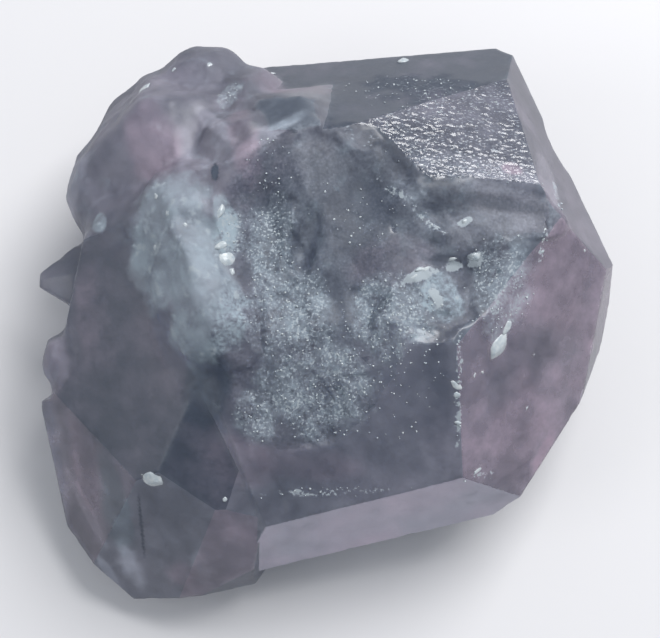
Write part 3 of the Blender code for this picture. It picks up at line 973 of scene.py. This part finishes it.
class Value:
    """A shader socket that adds Math nodes when it is used in Python arithmetic."""

    def __init__(self, graph, socket):
        self.graph = graph
        self.socket = socket

    def math(self, operation, *values):
        return self.graph.node("ShaderNodeMath", {"operation": operation}, dict(enumerate(values)))

    def __add__(self, other):
        return self.math("ADD", self, other)

    def __sub__(self, other):
        return self.math("SUBTRACT", self, other)

    def __rsub__(self, other):
        return self.math("SUBTRACT", other, self)

    def __mul__(self, other):
        return self.math("MULTIPLY", self, other)

    __radd__ = __add__
    __rmul__ = __mul__

    def greater(self, other):
        return self.math("MAXIMUM", self, other)

    def lesser(self, other):
        return self.math("MINIMUM", self, other)

    def held(self, low=0.0, high=1.0):
        """The value kept between two limits."""
        return self.graph.node("ShaderNodeClamp", {}, {"Value": self, "Min": low, "Max": high})

    def ease(self, low, high):
        """0 below low, 1 above high and a smooth S between them."""
        ends = {"Value": self, "From Min": low, "From Max": high}
        return self.graph.node("ShaderNodeMapRange", {"interpolation_type": "SMOOTHSTEP"}, ends)


class Graph:
    """The nodes of one material."""

    def __init__(self, name):
        self.material = bpy.data.materials.new(name)
        self.material.use_nodes = True
        self.nodes = self.material.node_tree.nodes
        self.links = self.material.node_tree.links
        self.nodes.clear()
        self.place = self.node("ShaderNodeTexCoord", output="Object")

    def node(self, kind, settings=None, values=None, output=0):
        """Makes any node: sets its settings, then sets or links its sockets."""
        made = self.nodes.new(kind)
        for name, value in (settings or {}).items():
            setattr(made, name, value)
        for name, value in (values or {}).items():
            if isinstance(value, Value):
                self.links.new(value.socket, made.inputs[name])
            elif value is not None:
                made.inputs[name].default_value = value
        return None if output is None else Value(self, made.outputs[output])

    def attributes(self, *names):
        """The mesh attributes of those names, in their order."""
        return [self.node("ShaderNodeAttribute", {"attribute_name": name}, output="Fac") for name in names]

    def noise(self, pitch, detail=2.0, roughness=0.5, stretch=None, turn=0.0):
        """Noise round 0 whose swells are about one pitch in mm apart, stretched along the axes."""
        place = self.place
        if stretch:
            turned = {"Vector": place, "Rotation": (0, 0, math.radians(turn)), "Scale": stretch}
            place = self.node("ShaderNodeMapping", {}, turned)
        values = {"Vector": place, "Scale": 1 / (pitch * MM), "Detail": detail, "Roughness": roughness}
        return self.node("ShaderNodeTexNoise", {}, values, output="Fac") - 0.5

    def mix(self, share, low, high):
        """A colour that goes from low to high with the share."""
        ends = {0: share, 6: with_alpha(low), 7: with_alpha(high)}
        return self.node("ShaderNodeMix", {"data_type": "RGBA"}, ends, output=2)

    def bump(self, height, distance, strength=1.0):
        values = {"Height": height, "Distance": distance * MM, "Strength": strength}
        return self.node("ShaderNodeBump", {}, values)

    def finish(self, surface, volume=None):
        self.node("ShaderNodeOutputMaterial", {}, {"Surface": surface, "Volume": volume}, output=None)
        return self.material


def with_alpha(paint):
    """A colour socket as it is, or three numbers with a full alpha."""
    return paint if isinstance(paint, Value) else (*paint, 1)


def celestine(colours):
    """See-through blue-grey stone that blurs what is behind it, under a milky haze, with
    frost, sugary grain, crusts, pale edges of wear and painted highlight, and painted glints;
    its tone also carries painted light and shade."""
    g = Graph("celestine")
    lumpy, etched, broken, pitted, worn = g.attributes("lumpy", "etched", "broken", "pitted", "worn")
    sugary, frosted, crusted, speckled = g.attributes("sugary", "frosted", "crusted", "speckled")
    shade, blush = g.attributes("shade", "blush")
    milky, light, mauve = (
        own * (1 - lumpy) + usual * lumpy
        for own, usual in zip(g.attributes("milky", "light", "mauve"), LUMP_FINISH))
    clouds = g.noise(4.5, 3, 0.55)
    wisps = g.noise(1.3, 5, 0.65)
    fine = g.noise(0.22, 3, 0.6)
    grit = g.noise(0.13, 1, 0.5)

    # The bare stone, seen through and milky, its brightness the tone of each face and place
    # together with the painted light and shade that the faces and the shaded places carry
    dust = broken * (0.5 * grit + 0.3 * fine) + 0.12 * fine
    brightness = (light + shade + dust + 0.35 * clouds + 0.3 * wisps).held()
    warmth = ((mauve + blush) * (0.85 + 1.3 * clouds)).held()
    tint = g.mix(brightness, colours.shaded, colours.lit)
    tint = g.mix(warmth, tint, colours.mauve_glow)
    stone = g.mix(brightness * brightness, colours.deep, colours.pale)
    stone = g.mix(warmth * brightness, stone, colours.mauve)

    # Frost, sugary grain and pale rims along the edges, the rims partly wear and partly
    # painted edge highlights, all of them thinner in the shaded places
    sugar = (sugary * (0.39 + 1.4 * wisps + 1.4 * fine)).held()
    rim = (worn * worn * (0.358 + 2.6 * wisps)).held(0, 0.5)
    frost = (frosted * (0.65 + wisps + 2.2 * broken * fine) + sugar).greater(rim)
    frost = (frost * (1 + 1.5 * shade.lesser(0))).held()
    stone = g.mix(frost, stone, colours.frost)

    # Chalky crusts, and painted glints in the crust's colour: bright specks that are partly
    # chalk and partly painted glints, painted glints on the sugary grain and on the etch pits'
    # walls, and soft painted highlights on the frost
    crust = (crusted + 1.5 * fine + 1.2 * wisps).ease(0.42, 0.75) * crusted.ease(0, 0.2)
    specks = (0.5 * speckled + 1.6 * fine + 0.6 * wisps).ease(0.52, 0.7) * speckled.ease(0, 0.2)
    painted_glints = (0.36 * sugary + 1.7 * grit + 0.9 * wisps).ease(0.5, 0.66) * sugary.ease(0, 0.2)
    rows = g.noise(0.2, 2, 0.6, (1, 2.2, 1), ROW_TURN)
    painted_pit_glints = 0.7 * (0.3 * pitted + 1.5 * rows).ease(0.4, 0.6) * pitted.ease(0, 0.3)
    painted_frost_highlights = 0.8 * (0.3 * frosted + 1.7 * g.noise(0.6, 2, 0.6) + 0.7 * wisps).ease(0.4, 0.7) * frosted
    for pale in (specks, painted_glints, painted_pit_glints, painted_frost_highlights):
        crust = crust.greater(pale)
    stone = g.mix(crust, stone, colours.crust)

    # the haze and the roughness follow the painted glints along with the crusts
    haze = milky + 0.5 * clouds + 0.5 * wisps + 0.5 * frost + crust - 0.6 * shade.lesser(0)
    rough = 0.2 * lumpy + 0.32 * (broken + pitted - etched) + 0.2 * frost - 0.16 * etched
    relief = g.bump(fine, 0.012, 0.4)
    clear = g.node("ShaderNodeBsdfPrincipled", {}, {
        "Base Color": tint, "Roughness": (0.08 + 0.4 * milky + rough).held(0.05, 0.7),
        "IOR": colours.bending, "Transmission Weight": 1.0})
    cloudy = g.node("ShaderNodeBsdfPrincipled", {}, {
        "Base Color": stone, "Roughness": (0.42 + rough + 0.3 * crust - 0.1 * sugary).held(0.12, 0.9),
        "IOR": colours.bending, "Normal": relief})
    surface = g.node("ShaderNodeMixShader", {}, {0: haze.held(0.04, 0.95), 1: clear, 2: cloudy})
    body = g.node("ShaderNodeVolumeAbsorption", {}, {
        "Color": (*colours.absorbed, 1), "Density": colours.density})
    return g.finish(surface, body)


def chalk_and_glints(colours):
    """Pale grain for the chalky crumbs and specks and for the grains set as painted glints,
    paler in patches, with a rough and slightly glossy surface.
    """
    g = Graph("chalk_and_glints")
    fine = g.noise(0.3, 3, 0.6)
    relief = g.bump(g.noise(0.12, 2, 0.6), 0.02, 0.6)
    return g.finish(g.node("ShaderNodeBsdfPrincipled", {}, {
        "Base Color": g.mix((0.5 + 1.6 * fine).held(), colours.frost, colours.crumb),
        "Roughness": 0.32, "IOR": colours.bending, "Normal": relief}))


# ---------------------------------------------------------------- stage


class StageSettings(PropertyGroup):
    """The floor, the lights and the camera."""

    floor: colour("Floor colour", "Colour of the plain floor", 0.66, 0.65, 0.66)
    room: colour("Room light", "Colour of the light from all round", 0.86, 0.92, 1.0)
    room_strength: FloatProperty(
        name="Room strength", description="Strength of the light from all round",
        default=0.50, min=0)
    key_power: FloatProperty(
        name="Key power", description="Power of the large soft light on the right",
        default=0.95, min=0, unit="POWER")
    fill_power: FloatProperty(
        name="Fill power", description="Power of the soft light on the left",
        default=0.10, min=0, unit="POWER")
    elevation: FloatProperty(
        name="Camera elevation", description="How steeply the camera looks down",
        default=math.radians(76), subtype="ANGLE", unit="ROTATION")
    distance: length("Camera distance", "From the camera to what it looks at", 90)
    width: length("View width", "How much the picture shows from side to side", 37.224)


LOOKED_AT = (0.35, 0.55, 0.0)  # mm from the middle
FLOOR_REACH = 400  # mm
FLOOR_DROP = 0.03  # mm below the crystal, so that the two don't share a place


def aimed(thing, place, target):
    """Puts a light or camera at a place, looking at a target, both in mm."""
    thing.location = Vector(place) * MM
    thing.rotation_mode = "QUATERNION"
    thing.rotation_quaternion = (Vector(target) - Vector(place)).to_track_quat("-Z", "Y")
    return thing


def linked(name, data):
    made = bpy.data.objects.new(name, data)
    bpy.context.scene.collection.objects.link(made)
    return made


def soft_light(name, place, size, power):
    """A square light at a place, so many mm wide, that looks at the crystal."""
    lamp = bpy.data.lights.new(name, "AREA")
    lamp.size, lamp.energy = size * MM, power
    return aimed(linked(name, lamp), place, (0, 0, 5))


class CELESTINE_OT_stage(Operator):
    """Set the floor, the lights and the camera"""

    bl_idname = "celestine.stage"
    bl_label = "Set Stage"

    def execute(self, context):
        settings = context.scene.celestine_stage
        g = Graph("plain_floor")
        shade = g.node("ShaderNodeBsdfPrincipled", {}, {"Base Color": (*settings.floor, 1), "Roughness": 0.7})
        corners = np.array([(-1, -1), (1, -1), (1, 1), (-1, 1)]) * FLOOR_REACH
        corners = np.column_stack([corners, [-FLOOR_DROP] * 4])
        mesh = build_mesh("floor", corners, np.array([(0, 1, 2), (0, 2, 3)]))
        mesh.materials.append(g.finish(shade))
        linked("floor", mesh)

        world = bpy.data.worlds.new("room")
        context.scene.world = world
        world.use_nodes = True
        sky = world.node_tree.nodes["Background"]
        sky.inputs["Color"].default_value = (*settings.room, 1)
        sky.inputs["Strength"].default_value = settings.room_strength
        soft_light("key", (120, 140, 220), 170, settings.key_power)
        soft_light("fill", (-200, -50, 150), 120, settings.fill_power)

        camera = bpy.data.cameras.new("camera")
        camera.sensor_width = 36
        camera.lens = camera.sensor_width * settings.distance / settings.width
        camera.clip_start = 0.002
        target = np.array(MIDDLE) + LOOKED_AT
        back = np.array([0, -math.cos(settings.elevation), math.sin(settings.elevation)])
        place = target + back * settings.distance / MM
        context.scene.camera = aimed(linked("camera", camera), place, target)
        context.scene.view_settings.view_transform = "Standard"
        return {"FINISHED"}


class CELESTINE_PT_panel(Panel):
    """Lists the crystal's operators and settings"""

    bl_idname = "CELESTINE_PT_panel"
    bl_label = "Celestine Crystal"
    bl_space_type = "VIEW_3D"
    bl_region_type = "UI"
    bl_category = "Celestine"

    def draw(self, context):
        for operator in OPERATORS:
            self.layout.operator(operator.bl_idname)
        for name, group in SETTINGS.items():
            for field in group.__annotations__:
                self.layout.prop(getattr(context.scene, name), field)


SETTINGS = {
    "celestine_sizes": CrystalSizes,
    "celestine_colours": StoneColours,
    "celestine_stage": StageSettings,
}
OPERATORS = (CELESTINE_OT_skin, CELESTINE_OT_crumbs, CELESTINE_OT_stage)
CLASSES = (*SETTINGS.values(), *OPERATORS, CELESTINE_PT_panel)


def register():
    for cls in CLASSES:
        bpy.utils.register_class(cls)
    for name, group in SETTINGS.items():
        setattr(bpy.types.Scene, name, PointerProperty(type=group))


def unregister():
    for name in SETTINGS:
        delattr(bpy.types.Scene, name)
    for cls in reversed(CLASSES):
        bpy.utils.unregister_class(cls)


def main():
    register()
    bpy.ops.celestine.skin()
    bpy.ops.celestine.crumbs()
    bpy.ops.celestine.stage()


if __name__ == "__main__":
    main()
